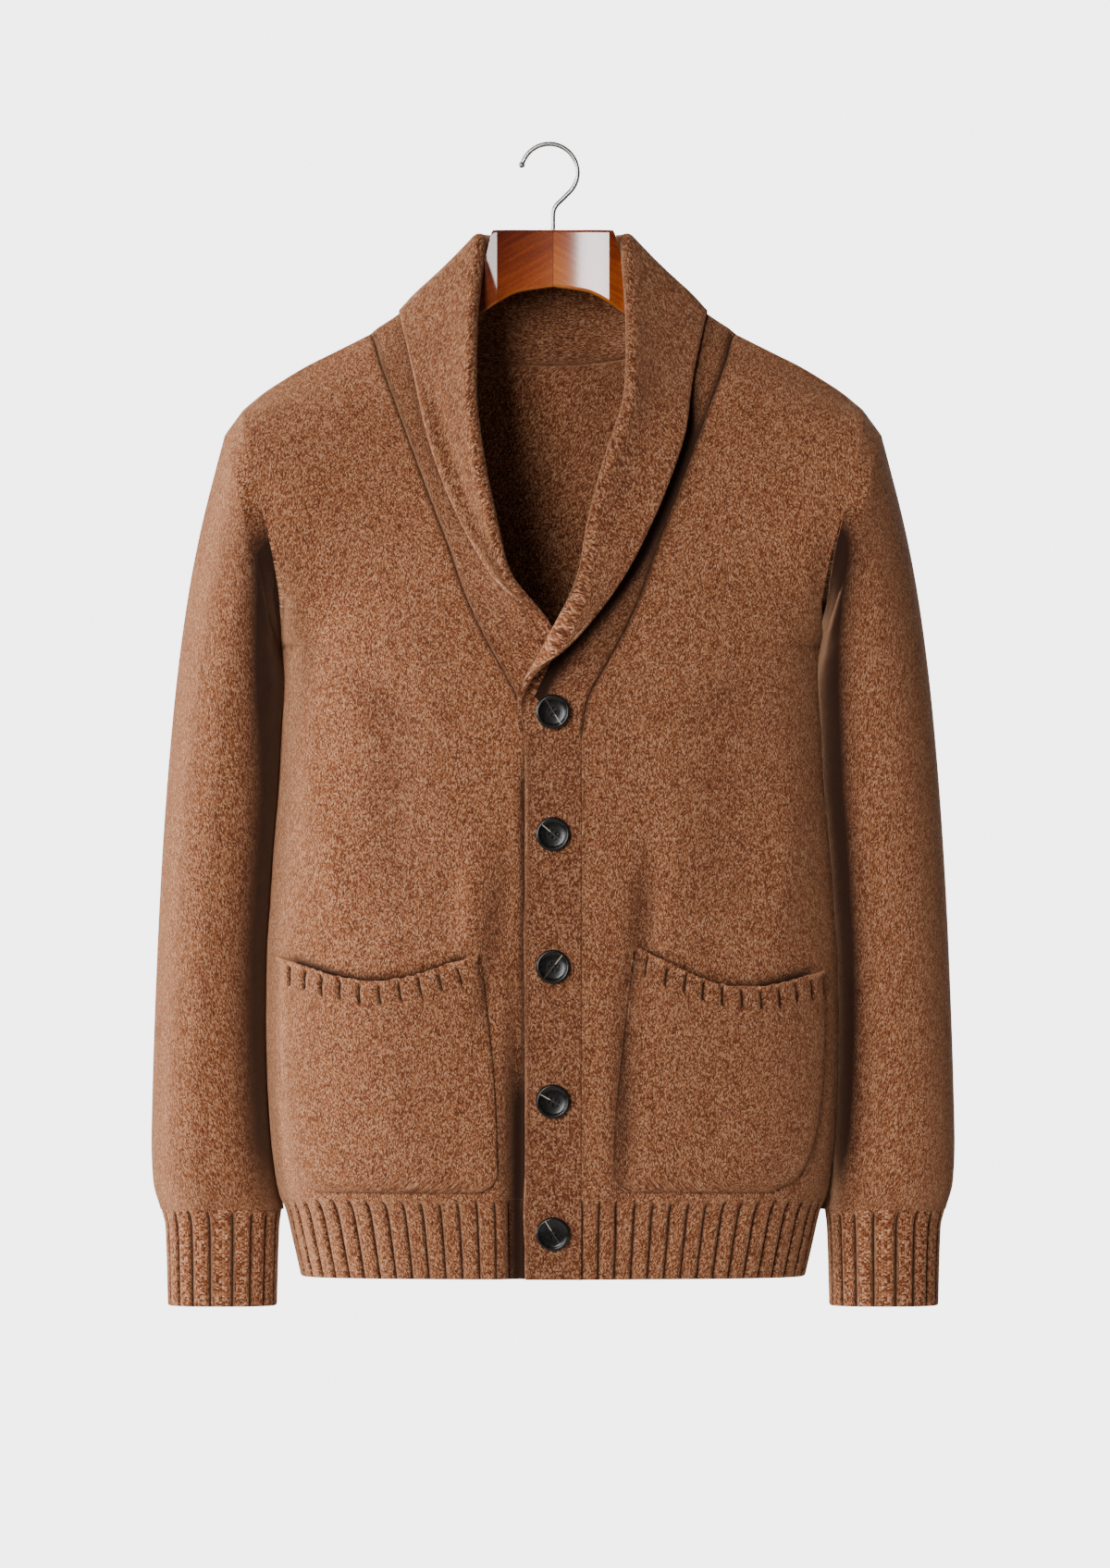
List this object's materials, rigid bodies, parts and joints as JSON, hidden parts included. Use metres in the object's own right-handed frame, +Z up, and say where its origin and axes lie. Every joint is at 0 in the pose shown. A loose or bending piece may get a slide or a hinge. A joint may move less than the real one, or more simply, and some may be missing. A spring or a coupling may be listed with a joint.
{
  "type": "shawl collar cardigan on a wooden clothes hanger",
  "caption": "Knitted cardigan with a folded shawl collar, buttoned front, patch pockets and ribbed hem and cuffs, hanging open and full on a wooden hanger with a wire hook.",
  "frame": {"origin": "the inner top of the hanger's hook, where it rests on a rail", "axes": "+Z up; the garment's front faces -Y; the wearer's left is +X"},
  "size_m": [0.5882, 0.2135, 0.851],
  "materials": {
    "knit": "heathered brown wool knit",
    "horn": "polished dark horn look",
    "lacquered_wood": "glossy reddish-brown lacquer",
    "hook_wire": "polished chrome"
  },
  "bodies": {
    "root": {"back": "knit", "front_left": "knit", "front_right": "knit", "sleeve_left": "knit", "sleeve_right": "knit", "shawl_collar": "knit", "pocket_left": "knit", "pocket_right": "knit", "buttonhole_band": "knit", "button_band": "knit", "cuff_left": "knit", "cuff_right": "knit", "hem_rib_back": "knit", "hem_rib_front_left": "knit", "hem_rib_front_right": "knit", "button_1": "horn", "button_2": "horn", "button_3": "horn", "button_4": "horn", "button_5": "horn", "hanger_wood": "lacquered_wood", "hanger_hook": "hook_wire"}
  },
  "joints": []
}
